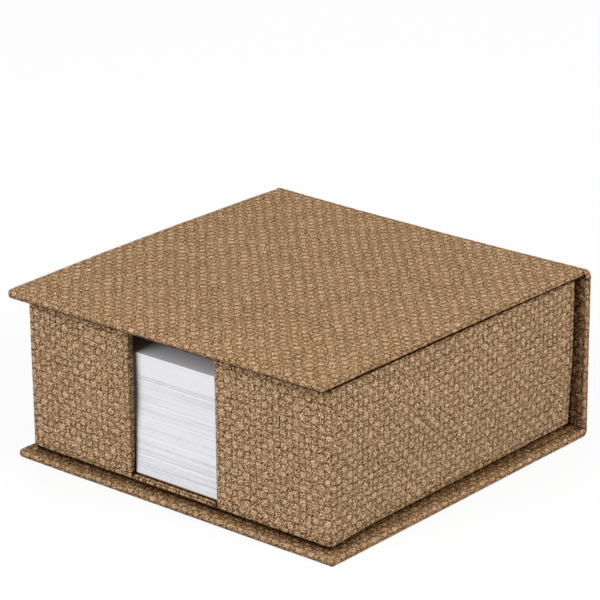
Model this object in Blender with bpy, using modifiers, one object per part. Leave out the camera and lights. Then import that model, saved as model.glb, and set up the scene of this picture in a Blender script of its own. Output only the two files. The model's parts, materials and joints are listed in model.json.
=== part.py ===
"""A desk memo box: a square stack of loose note sheets in a shallow cardboard tray with a
full-height finger window in its front wall. The tray is glued into a case, which is three
greyboards (base, spine and lid) joined by one sheet of cover paper. The lid opens on that paper.

Metres, +Z up. X runs across the window, and the window faces -Y. The spine is at +Y. The origin
is under the middle of the whole box, on the surface that it stands on.
"""

import math

import bmesh
import bpy
from mathutils import Vector

# The note sheets, which everything else is cut to fit
NOTE_SIDE = 0.090
STACK_HEIGHT = 0.0312
SHEAF_GAP = 0.0001
SHEAF_SHIFT = 0.0002
SHEAF_HEIGHT_SHARES = (0.10, 0.18, 0.26, 0.22, 0.24)
SHEAF_SHIFT_SHARES = ((0.6, -0.4), (-0.8, 0.9), (0.2, -0.8), (-0.5, 0.2), (0.9, -0.9))

# Room between the stack and the tray's walls, floor and lid
SIDE_CLEARANCE = 0.00175
FRONT_CLEARANCE = 0.0003
BACK_CLEARANCE = 0.00215
NOTE_REST_GAP = 0.0001

# Sheet materials
CASE_BOARD = 0.0015
WALL_BOARD = 0.0015
FLOOR_BOARD = 0.0012
COVER = 0.00025
LINING = 0.0002
GLUE = 0.0001

# The tray
TRAY_HEIGHT = 0.0406
WINDOW_WIDTH = 0.0277
WINDOW_MIDDLE = -0.0009
TRAY_TURN_IN = 0.0120

# The case round it
SIDE_LEDGE = 0.00305
FRONT_LEDGE = 0.00295
LID_FORWARD = 0.0020
LID_SIDE_INSET = 0.0006
LID_REST_GAP = 0.0002
CASE_TURN_IN = 0.0150
JOINT_ROOM = 0.0003
JOINT_GAP = 0.0001
HINGE_INSET = 0.00045
CREASE_WIDTH = 0.0003
CREASE_DEPTH = 0.0009
LINING_INSET = 0.0024
BASE_LAP = 0.0185

# Softness of folded and wrapped edges
EDGE_RADIUS = 0.0005
INSIDE_BEND = 0.0008
OUTSIDE_BEND = 0.0003
EDGE_STEPS = 3
BEND_STEPS = 6
SOFT_ANGLE = math.radians(35.0)

# Working limits: points that close are one, faces that flat are one, and cutters run past by this
WELD_DISTANCE = 0.00001
FLAT_ANGLE = math.radians(1.0)
OVERRUN = 0.0020

# Thicknesses that follow: a board with glue and paper on both sides
wrap = COVER + GLUE
slab = CASE_BOARD + 2 * wrap
wall = WALL_BOARD + 2 * wrap
lined = GLUE + LINING
joint_radius = slab - lined - 2 * JOINT_GAP

# Widths, along X
tray_inner_width = NOTE_SIDE + 2 * SIDE_CLEARANCE
tray_width = tray_inner_width + 2 * wall
base_width = tray_width + 2 * SIDE_LEDGE
lid_width = base_width - 2 * LID_SIDE_INSET
base_lining_width = base_width - 2 * LINING_INSET
lid_lining_width = lid_width - 2 * LINING_INSET
window_left = WINDOW_MIDDLE - WINDOW_WIDTH / 2
window_right = WINDOW_MIDDLE + WINDOW_WIDTH / 2

# Places along Y, from the lid's front edge to the spine's outer face
tray_inner_depth = FRONT_CLEARANCE + NOTE_SIDE + BACK_CLEARANCE
tray_depth = tray_inner_depth + 2 * wall
base_depth = FRONT_LEDGE + tray_depth + GLUE + lined + slab
total_depth = LID_FORWARD + base_depth
lid_front = -total_depth / 2
back = total_depth / 2
base_front = back - base_depth
spine_inner = back - slab
tray_back = spine_inner - lined - GLUE
tray_front = tray_back - tray_depth
tray_inner_front = tray_front + wall
tray_inner_back = tray_back - wall
note_middle_y = tray_inner_front + FRONT_CLEARANCE + NOTE_SIDE / 2

# Heights, along Z
base_top = slab
tray_bottom = base_top + lined + GLUE
floor_board_bottom = tray_bottom + wrap
floor_board_top = floor_board_bottom + FLOOR_BOARD
floor_lining_bottom = floor_board_top + GLUE
floor_lining_top = floor_lining_bottom + LINING
sill_top = floor_board_top + wrap
tray_top = tray_bottom + TRAY_HEIGHT
spine_top = tray_top - lined
lid_lining_middle = tray_top + LID_REST_GAP + LINING / 2
lid_bottom = tray_top + LID_REST_GAP + lined
lid_top = lid_bottom + slab
note_bottom = floor_lining_top + NOTE_REST_GAP


def new_collection(name):
    """A collection of the scene's, emptied if a former run left it."""
    found = bpy.data.collections.get(name)
    if found:
        bpy.data.collections.remove(found)
    made = bpy.data.collections.new(name)
    bpy.context.scene.collection.children.link(made)
    return made


def new_material(name, colour, roughness):
    """A plain paper-like surface. Nothing here is metal."""
    made = bpy.data.materials.new(name)
    made.use_nodes = True
    shader = made.node_tree.nodes["Principled BSDF"]
    shader.inputs["Base Color"].default_value = (*colour, 1.0)
    shader.inputs["Roughness"].default_value = roughness
    shader.inputs["Metallic"].default_value = 0.0
    made.diffuse_color = (*colour, 1.0)
    return made


def new_object(name, mesh, middle, surface, holder=None):
    """An object of the box at its middle, carried by holder if it moves."""
    made = bpy.data.objects.new(name, mesh)
    parts.objects.link(made)
    made.location = Vector(middle)
    if holder:
        made.parent = holder
        made.location = Vector(middle) - holder.location
    if surface:
        mesh.materials.append(surface)
    return made


def new_axis(name, place):
    """An empty that stands on a joint's axis and carries what turns or slides with it."""
    made = bpy.data.objects.new(name, None)
    parts.objects.link(made)
    made.location = place
    made.empty_display_size = wall
    return made


def cube_mesh(name, size):
    """A box of that size about its own middle."""
    shape = bmesh.new()
    bmesh.ops.create_cube(shape, size=1.0)
    bmesh.ops.scale(shape, vec=size, verts=shape.verts)
    mesh = bpy.data.meshes.new(name)
    shape.to_mesh(mesh)
    shape.free()
    return mesh


def add_box(name, low, high, surface, holder=None):
    """A box between two corners."""
    low, high = Vector(low), Vector(high)
    return new_object(name, cube_mesh(name, high - low), (low + high) / 2, surface, holder)


def add_sheet(name, path, width, thickness, surface, holder=None):
    """A sheet that runs along path, a list of (y, z) along its middle, and is straight across X."""
    start = Vector((0.0, *path[0]))
    shape = bmesh.new()
    row = [shape.verts.new(Vector((-width / 2, y, z)) - start) for y, z in path]
    edges = [shape.edges.new(pair) for pair in zip(row, row[1:])]
    swept = bmesh.ops.extrude_edge_only(shape, edges=edges)["geom"]
    moved = [part for part in swept if isinstance(part, bmesh.types.BMVert)]
    bmesh.ops.translate(shape, vec=(width, 0.0, 0.0), verts=moved)
    bmesh.ops.recalc_face_normals(shape, faces=shape.faces)
    mesh = bpy.data.meshes.new(name)
    shape.to_mesh(mesh)
    shape.free()
    made = new_object(name, mesh, start, surface, holder)
    solid = made.modifiers.new("paper_thickness", "SOLIDIFY")
    solid.thickness = thickness
    solid.offset = 0.0
    solid.use_even_offset = True
    return made


def add_outline(name, points, width, surface):
    """A solid with the outline points, a list of (y, z), that is straight across X for width."""
    curve = bpy.data.curves.new(name + "_outline", "CURVE")
    curve.dimensions = "2D"
    curve.fill_mode = "BOTH"
    curve.extrude = width / 2
    spline = curve.splines.new("POLY")
    spline.points.add(len(points) - 1)
    spline.use_cyclic_u = True
    for point, (y, z) in zip(spline.points, points):
        point.co = (y, z, 0.0, 1.0)
    drawn = bpy.data.objects.new(name + "_outline", curve)
    parts.objects.link(drawn)
    drawn.rotation_euler = (math.pi / 2, 0.0, math.pi / 2)
    bpy.context.view_layer.update()
    seen = drawn.evaluated_get(bpy.context.evaluated_depsgraph_get())
    mesh = bpy.data.meshes.new_from_object(seen)
    mesh.name = name
    shape = bmesh.new()
    shape.from_mesh(mesh)
    bmesh.ops.remove_doubles(shape, verts=shape.verts, dist=WELD_DISTANCE)
    bmesh.ops.dissolve_limit(shape, angle_limit=FLAT_ANGLE, verts=shape.verts, edges=shape.edges)
    shape.to_mesh(mesh)
    shape.free()
    made = new_object(name, mesh, (0.0, 0.0, 0.0), surface)
    made.matrix_world = drawn.matrix_world
    bpy.data.objects.remove(drawn)
    return made


def soften(made, radius=EDGE_RADIUS):
    """Rounds the sharp edges, as paper drawn over a board does. The triangles keep every face flat,
    so that the cuts that come after it are clean."""
    edge = made.modifiers.new("soft_edges", "BEVEL")
    edge.width = radius
    edge.segments = EDGE_STEPS
    edge.limit_method = "ANGLE"
    edge.angle_limit = SOFT_ANGLE
    made.modifiers.new("flat_faces", "TRIANGULATE")


def cut_with(made, tool):
    """Takes the tool's shape out of made, and keeps the tool as a wire that isn't rendered."""
    for holder in tool.users_collection:
        holder.objects.unlink(tool)
    cutters.objects.link(tool)
    tool.display_type = "WIRE"
    tool.hide_render = True
    taken = made.modifiers.new(tool.name, "BOOLEAN")
    taken.operation = "DIFFERENCE"
    taken.object = tool


def cut_box(made, label, low, high):
    """Takes the box between two corners out of made."""
    cut_with(made, add_box(made.name + "_" + label, low, high, None))


def rounded(points, radii):
    """points with each inner corner turned into an arc. radii has one radius for each of them."""
    path = [points[0]]
    for before, corner, after, radius in zip(points, points[1:], points[2:], radii):
        corner = Vector(corner)
        to_before = (Vector(before) - corner).normalized()
        to_after = (Vector(after) - corner).normalized()
        half_angle = to_before.angle(to_after) / 2
        reach = radius / math.tan(half_angle)
        middle = corner + (to_before + to_after).normalized() * radius / math.sin(half_angle)
        first = corner + to_before * reach - middle
        last = corner + to_after * reach - middle
        for step in range(BEND_STEPS + 1):
            spoke = first.slerp(last, step / BEND_STEPS).normalized() * radius
            path.append(tuple(middle + spoke))
    path.append(points[-1])
    return path


def grown(low, high, by):
    """The corners of a box that is larger by the same margin all round."""
    margin = Vector((by, by, by))
    return Vector(low) - margin, Vector(high) + margin


def wide(low_y, low_z, high_y, high_z, width):
    """The corners of a box that is centred across X."""
    return (-width / 2, low_y, low_z), (width / 2, high_y, high_z)


def add_case_boards():
    """The three greyboards that stiffen the case."""
    board_width = base_width - 2 * wrap
    low, high = wide(base_front + wrap, wrap, spine_inner - JOINT_ROOM, wrap + CASE_BOARD, board_width)
    add_box("base_board", low, high, greyboard)
    low, high = wide(spine_inner + wrap, base_top + JOINT_ROOM, back - wrap, spine_top, board_width)
    add_box("spine_board", low, high, greyboard)
    low, high = wide(
        lid_front + wrap, lid_bottom + wrap, spine_inner, lid_top - wrap, lid_width - 2 * wrap
    )
    add_box("lid_board", low, high, greyboard, lid_hinge)


def add_case_cover():
    """The fixed stretch of the cover sheet. It runs under the base board, round the rounded lower
    corner and up the outside of the spine board. Its edges are turned in over the boards."""
    corner = rounded([(base_front, 0.0), (back, 0.0), (back, spine_top + OVERRUN)], [joint_radius])
    inner = [(spine_inner, spine_top + OVERRUN), (spine_inner, base_top), (base_front, base_top)]
    cover = add_outline("case_cover", corner + inner, base_width, cover_paper)
    soften(cover)
    room = rounded(
        [(base_front + COVER, COVER), (back - COVER, COVER), (back - COVER, spine_top + OVERRUN)],
        [joint_radius - COVER],
    )
    room += [
        (spine_inner + COVER, spine_top + OVERRUN),
        (spine_inner + COVER, base_top - COVER),
        (base_front + COVER, base_top - COVER),
    ]
    cut_with(cover, add_outline("case_cover_room_for_boards", room, base_width - 2 * COVER, None))
    low, high = wide(
        base_front - OVERRUN, spine_top, back + OVERRUN, spine_top + 2 * OVERRUN, base_width + OVERRUN
    )
    cut_box(cover, "hinge_end", low, high)
    bare_width = base_width - 2 * CASE_TURN_IN
    low, high = wide(
        base_front + CASE_TURN_IN, base_top - COVER - GLUE, spine_inner, base_top + GLUE, bare_width
    )
    cut_box(cover, "bare_base", low, high)
    low, high = wide(
        spine_inner - GLUE, base_top - GLUE, spine_inner + COVER + GLUE, spine_top + GLUE, bare_width
    )
    cut_box(cover, "bare_spine", low, high)
    for side, word in ((-1, "left"), (1, "right")):
        crease = add_box(
            "case_cover_crease_" + word,
            (side * base_width / 2 - CREASE_DEPTH, -slab / 2, -CREASE_WIDTH / 2),
            (side * base_width / 2 + CREASE_DEPTH, slab / 2, CREASE_WIDTH / 2),
            None,
        )
        crease.location.y = (spine_inner + back) / 2
        crease.location.z = base_top / 2
        crease.rotation_euler.x = -math.pi / 4
        cut_with(cover, crease)


def add_lid_cover():
    """The stretch of the cover sheet that wraps the lid board, open towards the hinge."""
    low, high = wide(lid_front, lid_bottom, spine_inner + OVERRUN, lid_top, lid_width)
    cover = add_box("lid_cover", low, high, cover_paper, lid_hinge)
    soften(cover)
    low, high = wide(
        lid_front + COVER,
        lid_bottom + COVER,
        spine_inner + 2 * OVERRUN,
        lid_top - COVER,
        lid_width - 2 * COVER,
    )
    cut_box(cover, "room_for_board", low, high)
    low, high = wide(
        spine_inner, lid_bottom - OVERRUN, spine_inner + 3 * OVERRUN, lid_top + OVERRUN, base_width
    )
    cut_box(cover, "hinge_end", low, high)
    low, high = wide(
        lid_front + CASE_TURN_IN,
        lid_bottom - GLUE,
        spine_inner + GLUE,
        lid_bottom + COVER + GLUE,
        lid_width - 2 * CASE_TURN_IN,
    )
    cut_box(cover, "bare_underside", low, high)


def corner_band(depth, start_z, end_y):
    """A path that stays that deep under the case's outside, from the top of the spine, round the
    hinge's corner and on to the lid's top."""
    outer = [(back - depth, start_z), (back - depth, lid_top - depth), (end_y, lid_top - depth)]
    return rounded(outer, [joint_radius - depth])


def add_hinge_joint():
    """The free stretch of the cover sheet that is the hinge, and the strip of the same paper glued
    inside it. Both bend when the lid opens."""
    path = corner_band(COVER / 2, spine_top + JOINT_GAP, spine_inner + JOINT_GAP)
    add_sheet("lid_joint_cover", path, base_width, COVER, cover_paper)
    end_y = spine_inner + lined + JOINT_GAP
    path = corner_band(wrap + LINING / 2, spine_top + lined + JOINT_GAP, end_y)
    add_sheet("lid_joint_lining", path, base_lining_width, LINING, cover_paper)


def add_linings():
    """The strip that lines the lower joint and spine, and the lid's own lining. Each ends round its
    board, where the hinge's lining begins."""
    offset = GLUE + LINING / 2
    level, face = base_top + offset, spine_inner - offset
    corners = [
        (spine_inner - BASE_LAP, level),
        (face, level),
        (face, spine_top + offset),
        (back - wrap - LINING - JOINT_GAP, spine_top + offset),
    ]
    path = rounded(corners, [INSIDE_BEND, OUTSIDE_BEND])
    add_sheet("spine_lining", path, base_lining_width, LINING, cover_paper)
    corners = [
        (lid_front + LINING_INSET, lid_lining_middle),
        (spine_inner + offset, lid_lining_middle),
        (spine_inner + offset, lid_top - wrap),
    ]
    path = rounded(corners, [OUTSIDE_BEND])
    add_sheet("lid_lining", path, lid_lining_width, LINING, lining_paper, lid_hinge)


def tray_boards():
    """Each of the tray's boards as its name and corners. The side walls run the full depth, and
    the front and back walls stand between them. All four stand on the floor board."""
    side_out, side_in = tray_width / 2 - wrap, tray_width / 2 - wrap - WALL_BOARD
    end_out = side_in - GLUE
    left_jamb, right_jamb = window_left - wrap, window_right + wrap
    foot, top = floor_board_top + GLUE, tray_top - wrap
    front_out, front_in = tray_front + wrap, tray_front + wrap + WALL_BOARD
    back_in, back_out = tray_back - wrap - WALL_BOARD, tray_back - wrap
    return {
        "tray_floor_board": (
            (-side_out, front_out, floor_board_bottom),
            (side_out, back_out, floor_board_top),
        ),
        "tray_left_board": ((-side_out, front_out, foot), (-side_in, back_out, top)),
        "tray_right_board": ((side_in, front_out, foot), (side_out, back_out, top)),
        "tray_back_board": ((-end_out, back_in, foot), (end_out, back_out, top)),
        "tray_front_left_board": ((-end_out, front_out, foot), (left_jamb, front_in, top)),
        "tray_front_right_board": ((right_jamb, front_out, foot), (end_out, front_in, top)),
    }


def add_tray():
    """The tray's boards, and the sheet drawn over them inside and out. The window runs the full
    height of the front wall, down to a sill that is the floor board's wrapped edge."""
    low, high = wide(tray_front, tray_bottom, tray_back, tray_top, tray_width)
    cover = add_box("tray_cover", low, high, cover_paper)
    low = (window_left, tray_front - OVERRUN, sill_top)
    high = (window_right, tray_inner_front + OVERRUN, tray_top + OVERRUN)
    cut_box(cover, "window", low, high)
    soften(cover)
    low, high = wide(
        tray_inner_front, floor_board_top, tray_inner_back, tray_top + OVERRUN, tray_inner_width
    )
    cut_box(cover, "hollow", low, high)
    low, high = wide(
        tray_front + TRAY_TURN_IN,
        tray_bottom - OVERRUN,
        tray_back - TRAY_TURN_IN,
        floor_board_bottom,
        tray_width - 2 * TRAY_TURN_IN,
    )
    cut_box(cover, "open_underside", low, high)
    for name, (low, high) in tray_boards().items():
        add_box(name, low, high, greyboard)
        cut_box(cover, "room_for_" + name, *grown(low, high, GLUE))
    low, high = wide(
        tray_inner_front + GLUE,
        floor_lining_bottom,
        tray_inner_back - GLUE,
        floor_lining_top,
        tray_inner_width - 2 * GLUE,
    )
    add_box("tray_floor_lining", low, high, lining_paper)


def add_notes():
    """The loose stack of note sheets, as the sheaves that it has settled into."""
    paper_height = STACK_HEIGHT - SHEAF_GAP * (len(SHEAF_HEIGHT_SHARES) - 1)
    low_z = note_bottom
    for number, share in enumerate(SHEAF_HEIGHT_SHARES):
        shift_x, shift_y = (SHEAF_SHIFT * part for part in SHEAF_SHIFT_SHARES[number])
        high_z = low_z + paper_height * share
        low = (shift_x - NOTE_SIDE / 2, note_middle_y + shift_y - NOTE_SIDE / 2, low_z)
        high = (shift_x + NOTE_SIDE / 2, note_middle_y + shift_y + NOTE_SIDE / 2, high_z)
        add_box("note_sheaf_" + str(number + 1), low, high, note_paper, notes_lift)
        low_z = high_z + SHEAF_GAP


for leftover in list(bpy.data.objects):
    bpy.data.objects.remove(leftover)

parts = new_collection("memo_box")
cutters = new_collection("memo_box_cutters")

cover_paper = new_material("cover_paper", (0.36, 0.24, 0.15), 0.85)
lining_paper = new_material("lining_paper", (0.30, 0.20, 0.12), 0.90)
greyboard = new_material("greyboard", (0.33, 0.31, 0.28), 0.95)
note_paper = new_material("note_paper", (0.86, 0.87, 0.90), 0.80)

lid_hinge = new_axis("lid_hinge", (0.0, back - HINGE_INSET, lid_top - HINGE_INSET))
notes_lift = new_axis("notes_lift", (0.0, note_middle_y, note_bottom))
bpy.context.view_layer.update()

add_case_boards()
add_case_cover()
add_lid_cover()
add_hinge_joint()
add_linings()
add_tray()
add_notes()

for finished in parts.objects:
    if finished.type == "MESH":
        finished.data.shade_smooth()
        finished.data.set_sharp_from_angle(angle=SOFT_ANGLE)

print("base", round(base_width, 5), "x", round(base_depth, 5))
print("whole box", round(base_width, 5), "x", round(total_depth, 5), "x", round(lid_top, 5))
print("hinge axis at y", round(back - HINGE_INSET, 5), "z", round(lid_top - HINGE_INSET, 5))
print("room above the notes", round(lid_bottom - lined - note_bottom - STACK_HEIGHT, 5))
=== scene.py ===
# %% [markdown]
# This lesson dresses a desk memo box: a cardboard tray of loose note sheets in a hinged case that
# is wrapped in embossed paper. The imported model already holds every solid at its real size, so the
# first step is to load it.

# %% Load the imported box
import json
import math
import random

import bmesh
import bpy
from mathutils import Matrix, Vector, noise


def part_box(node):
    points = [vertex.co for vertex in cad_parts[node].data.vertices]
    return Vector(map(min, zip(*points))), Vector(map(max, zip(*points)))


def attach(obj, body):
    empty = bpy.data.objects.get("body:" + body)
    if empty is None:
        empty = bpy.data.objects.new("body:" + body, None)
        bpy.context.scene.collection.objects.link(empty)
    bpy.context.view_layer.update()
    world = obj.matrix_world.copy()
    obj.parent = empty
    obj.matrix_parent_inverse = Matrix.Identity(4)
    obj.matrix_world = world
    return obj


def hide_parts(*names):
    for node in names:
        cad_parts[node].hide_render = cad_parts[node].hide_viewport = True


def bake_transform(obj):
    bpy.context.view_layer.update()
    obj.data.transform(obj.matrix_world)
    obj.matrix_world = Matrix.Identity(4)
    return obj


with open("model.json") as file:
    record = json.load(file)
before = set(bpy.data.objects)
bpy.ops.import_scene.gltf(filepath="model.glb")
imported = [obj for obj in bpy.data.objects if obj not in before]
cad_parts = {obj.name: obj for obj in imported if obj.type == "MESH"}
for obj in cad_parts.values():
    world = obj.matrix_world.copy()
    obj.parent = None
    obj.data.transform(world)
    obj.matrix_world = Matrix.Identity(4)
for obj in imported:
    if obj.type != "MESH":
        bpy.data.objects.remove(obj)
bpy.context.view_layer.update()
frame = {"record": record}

# %% [markdown]
# Every piece of paper lies on a board that the model knows, so its place can be read off instead of
# typed again. The greyboards sit a little inside the wrapped slabs. That difference is the paper
# with its glue, and it gives the wall's thickness and the edges of the window as well.

# %% Read the box's sizes off the model
case_low, case_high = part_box("case_cover")
lid_low, lid_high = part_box("lid_cover")
tray_low, tray_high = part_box("tray_cover")
side_board_low, side_board_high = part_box("tray_left_board")

wrap = side_board_low.x - tray_low.x
wall = side_board_high.x + wrap - tray_low.x
slab = lid_high.z - lid_low.z
window_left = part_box("tray_front_left_board")[1].x + wrap
window_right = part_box("tray_front_right_board")[0].x - wrap
sill_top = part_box("tray_floor_board")[1].z + wrap
spine_inner = case_high.y - slab
print("wall", round(wall, 5), "slab", round(slab, 5))
print("window from", round(window_left, 5), "to", round(window_right, 5))

# %% [markdown]
# A finished piece is a mesh whose object stands at the origin, unturned, so that a pattern painted
# in object space stays where it is when the pieces are moved about. The mesh is made in bmesh,
# Blender's own modelling kit, because its operators do what the tools of edit mode do. This helper
# turns a bmesh into such an object, hangs it on the body that carries it and hides the solids of
# the model it stands for. The raw edges of a sheet are marked sharp, because the thin side that the
# paper's thickness adds there would otherwise tint the shading of the faces beside it.

# %% Finish a piece
SHARP_ANGLE = math.radians(40.0)


def finish_piece(shape, name, finish, body, stands_for=()):
    shape.edges.index_update()
    raw_edges = [edge.index for edge in shape.edges if edge.is_boundary]
    mesh = bpy.data.meshes.new(name)
    shape.to_mesh(mesh)
    shape.free()
    mesh.materials.append(finish)
    mesh.shade_smooth()
    mesh.set_sharp_from_angle(angle=SHARP_ANGLE)
    for number in raw_edges:
        mesh.edges[number].use_edge_sharp = True
    piece = bpy.data.objects.new(name, mesh)
    bpy.context.scene.collection.objects.link(piece)
    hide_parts(*stands_for)
    if body:
        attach(piece, body)
    print(name, "has", len(mesh.polygons), "faces")
    return piece


# %% [markdown]
# Wrapped board is a box with soft edges. These small tools make a box between two corners, cut it
# along planes, take away the faces that paper doesn't cover, and round the edges. Cutting a face
# into a grid with bisect_plane keeps the rounded strips whole, which a plain subdivision wouldn't.

# %% Tools for wrapped board
CUT_TOLERANCE = 1e-7
# How much of a face's normal points a way, for a face that looks that way or lies flat against it.
FACING = 0.5
FLAT_AGAINST = 0.9


def box_shape(low, high):
    shape = bmesh.new()
    bmesh.ops.create_cube(shape, size=1.0)
    bmesh.ops.scale(shape, vec=high - low, verts=shape.verts)
    bmesh.ops.translate(shape, vec=(low + high) / 2, verts=shape.verts)
    return shape


def slice_at(shape, normal, places):
    normal = Vector(normal).normalized()
    for place in places:
        everything = shape.verts[:] + shape.edges[:] + shape.faces[:]
        bmesh.ops.bisect_plane(
            shape, geom=everything, dist=CUT_TOLERANCE, plane_co=normal * place, plane_no=normal
        )
    shape.normal_update()


def slice_evenly(shape, axis, spacing):
    places = [corner.co[axis] for corner in shape.verts]
    low, high = min(places), max(places)
    count = math.ceil((high - low) / spacing)
    normal = [0.0, 0.0, 0.0]
    normal[axis] = 1.0
    slice_at(shape, normal, [low + (high - low) * step / count for step in range(1, count)])


def take_away(shape, unwanted):
    shape.normal_update()
    faces = [face for face in shape.faces if unwanted(face.calc_center_median(), face.normal)]
    bmesh.ops.delete(shape, geom=faces, context="FACES")


def round_off(shape, edges, radius, steps):
    bmesh.ops.bevel(
        shape,
        geom=edges,
        offset=radius,
        offset_type="OFFSET",
        segments=steps,
        profile=0.5,
        affect="EDGES",
        material=-1,
        clamp_overlap=False,
    )
    shape.normal_update()


def sharp_edges(shape, wanted=None):
    found = [
        edge
        for edge in shape.edges
        if len(edge.link_faces) == 2 and edge.is_convex and edge.calc_face_angle() > SHARP_ANGLE
    ]
    return [edge for edge in found if wanted is None or wanted(*(end.co for end in edge.verts))]


def upright_at_front(front, side):
    """Picks a slab's upright edge at its front corner on one side, -1 for left and 1 for right."""
    return lambda one, two: (
        abs(one.z - two.z) > wrap and max(one.y, two.y) < front + wrap and one.x * side > 0
    )


# %% [markdown]
# The emboss is printed on flat paper before it is wrapped, so it has to run round every edge
# without a break. A UV map does that: it stores, for each corner of a face, where that corner lay
# on the flat sheet. Here it is kept in millimetres, so that the sizes in the material are real.
# The sheet runs under the base, up the spine, round the hinge and over the lid, whose right edge
# falls a little short of the base's.

# %% Lay a wrapped face back on the flat sheet
MILLIMETRE = 0.001
QUARTER_TURN = math.pi / 2

LID_RIGHT_SHORT = 0.0006

hinge_run = case_high.y + lid_low.z + slab * QUARTER_TURN
lid_right = lid_high.x - LID_RIGHT_SHORT


def lay_flat(shape, unroll):
    shape.normal_update()
    layer = shape.loops.layers.uv.new("sheet")
    for face in shape.faces:
        middle = face.calc_center_median()
        for corner in face.loops:
            corner[layer].uv = [size / MILLIMETRE for size in unroll(corner.vert.co, middle)]


def unwrap_lid(point, middle):
    """The lid's sheet: its top is the outside, and it turns in at the front and the sides."""
    drop = lid_high.z - point.z
    turned = 1 if middle.z < (lid_low.z + lid_high.z) / 2 else -1
    start = hinge_run + spine_inner
    if middle.y - lid_low.y < lid_high.x - abs(middle.x):
        return start - lid_low.y + turned * (point.y - lid_low.y) + drop, point.x
    side = math.copysign(1.0, middle.x)
    edge = lid_right if side > 0 else -lid_low.x
    return start - point.y, side * (edge + turned * (edge - side * point.x) + drop)


def unwrap_case(point, middle):
    """The case's sheet: it runs under the base and up the spine, and turns in at all its edges."""
    side = math.copysign(1.0, middle.x)
    on_spine = middle.z > case_high.y - middle.y
    depth = case_high.y - point.y if on_spine else point.z
    middle_depth = case_high.y - middle.y if on_spine else middle.z
    turned = 1 if middle_depth > slab / 2 else -1
    from_front = middle.y - case_low.y
    if not on_spine and from_front < case_high.x - abs(middle.x):
        return case_low.y - turned * (point.y - case_low.y) - depth, point.x
    along = case_high.y + point.z if on_spine else point.y
    return along, side * (case_high.x + turned * (case_high.x - side * point.x) + depth)


# %% [markdown]
# Real wrapped board is never quite flat. The paper holds a little air here and pulls tight there.
# Drawing each point in along its normal by smooth noise of a tenth of a millimetre at most is
# enough to keep the long edges from looking ruled. The lid's board has also bowed a little, as
# board does when paper is glued to one side: it is crowned, highest towards its left, its hinge end
# is twisted and sags in the middle, and it is thinner on its right. All that belongs to the lid
# follows it.

# %% Let the paper wander and the lid bow
WANDER = 0.0001
WANDER_PER_METRE = 90.0
LID_CROWN = 0.00035
LID_CROWN_TO_LEFT = 0.4
LID_TWIST = 0.0003
LID_SAG = 0.00045
LID_THINNING = 0.0003


def let_wander(shape):
    shape.normal_update()
    pulls = [
        (point, point.normal * WANDER * (1 + noise.noise(point.co * WANDER_PER_METRE)) / 2)
        for point in shape.verts
    ]
    for point, pull in pulls:
        point.co -= pull


def lid_lift(place):
    """How far the bowed lid rises: not along its front, and with a twist and a sag at the hinge."""
    half_depth = (lid_high.y - lid_low.y) / 2
    along, across = (place.y - lid_low.y) / half_depth - 1, place.x / lid_high.x
    crown = LID_CROWN * (1 - along**2) * (1 - LID_CROWN_TO_LEFT * across)
    at_hinge = LID_TWIST * across + LID_SAG * (1 - across**2)
    return crown - at_hinge * (1 + along) / 2


def thin_to_the_right(shape):
    """Lifts the underside more and more towards the right, where the board was pressed harder."""
    for point in shape.verts:
        if point.co.z < (lid_low.z + lid_high.z) / 2:
            point.co.z += LID_THINNING * (1 + point.co.x / lid_high.x) / 2


def bow_with_lid(shape, share=lambda place: 1.0):
    for point in shape.verts:
        point.co.z += share(point.co) * lid_lift(point.co)


# %% [markdown]
# Materials first need a way to write arithmetic in nodes without losing sight of it. Each helper
# adds one node, feeds it and hands back its output, so a formula reads almost as it would on
# paper. Values that a formula gives go only to sockets such as colour, roughness and height.

# %% Small helpers for node arithmetic
def feed(tree, socket, value):
    if isinstance(value, bpy.types.NodeSocket):
        tree.links.new(value, socket)
    else:
        socket.default_value = value


def calculate(tree, operation, *values):
    step = tree.nodes.new("ShaderNodeMath")
    step.operation = operation
    for socket, value in zip(step.inputs, values):
        feed(tree, socket, value)
    return step.outputs[0]


def calculate_vector(tree, operation, *values):
    step = tree.nodes.new("ShaderNodeVectorMath")
    step.operation = operation
    for socket, value in zip(step.inputs, values):
        feed(tree, socket, value)
    return step.outputs[0]


def add_share(tree, total, value, middle, share):
    """Adds how far a value is from its middle, times its share, to a running total."""
    off_middle = calculate(tree, "SUBTRACT", value, middle)
    return calculate(tree, "MULTIPLY_ADD", off_middle, share, total)


def remap(tree, value, low, high, out_low=0.0, out_high=1.0):
    step = tree.nodes.new("ShaderNodeMapRange")
    step.interpolation_type = "SMOOTHSTEP"
    for name, given in (
        ("Value", value),
        ("From Min", low),
        ("From Max", high),
        ("To Min", out_low),
        ("To Max", out_high),
    ):
        feed(tree, step.inputs[name], given)
    return step.outputs["Result"]


def noise_at(tree, place, scale, detail=2.0, roughness=0.5):
    step = tree.nodes.new("ShaderNodeTexNoise")
    feed(tree, step.inputs["Vector"], place)
    step.inputs["Scale"].default_value = scale
    step.inputs["Detail"].default_value = detail
    step.inputs["Roughness"].default_value = roughness
    return step


def new_group(name, inputs, outputs):
    tree = bpy.data.node_groups.new(name, "ShaderNodeTree")
    for label, kind in inputs:
        tree.interface.new_socket(name=label, in_out="INPUT", socket_type=kind)
    for label in outputs:
        tree.interface.new_socket(name=label, in_out="OUTPUT", socket_type="NodeSocketFloat")
    return tree, tree.nodes.new("NodeGroupInput"), tree.nodes.new("NodeGroupOutput")


def use_group(tree, group, place):
    step = tree.nodes.new("ShaderNodeGroup")
    step.node_tree = group
    feed(tree, step.inputs[0], place)
    return step


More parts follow.
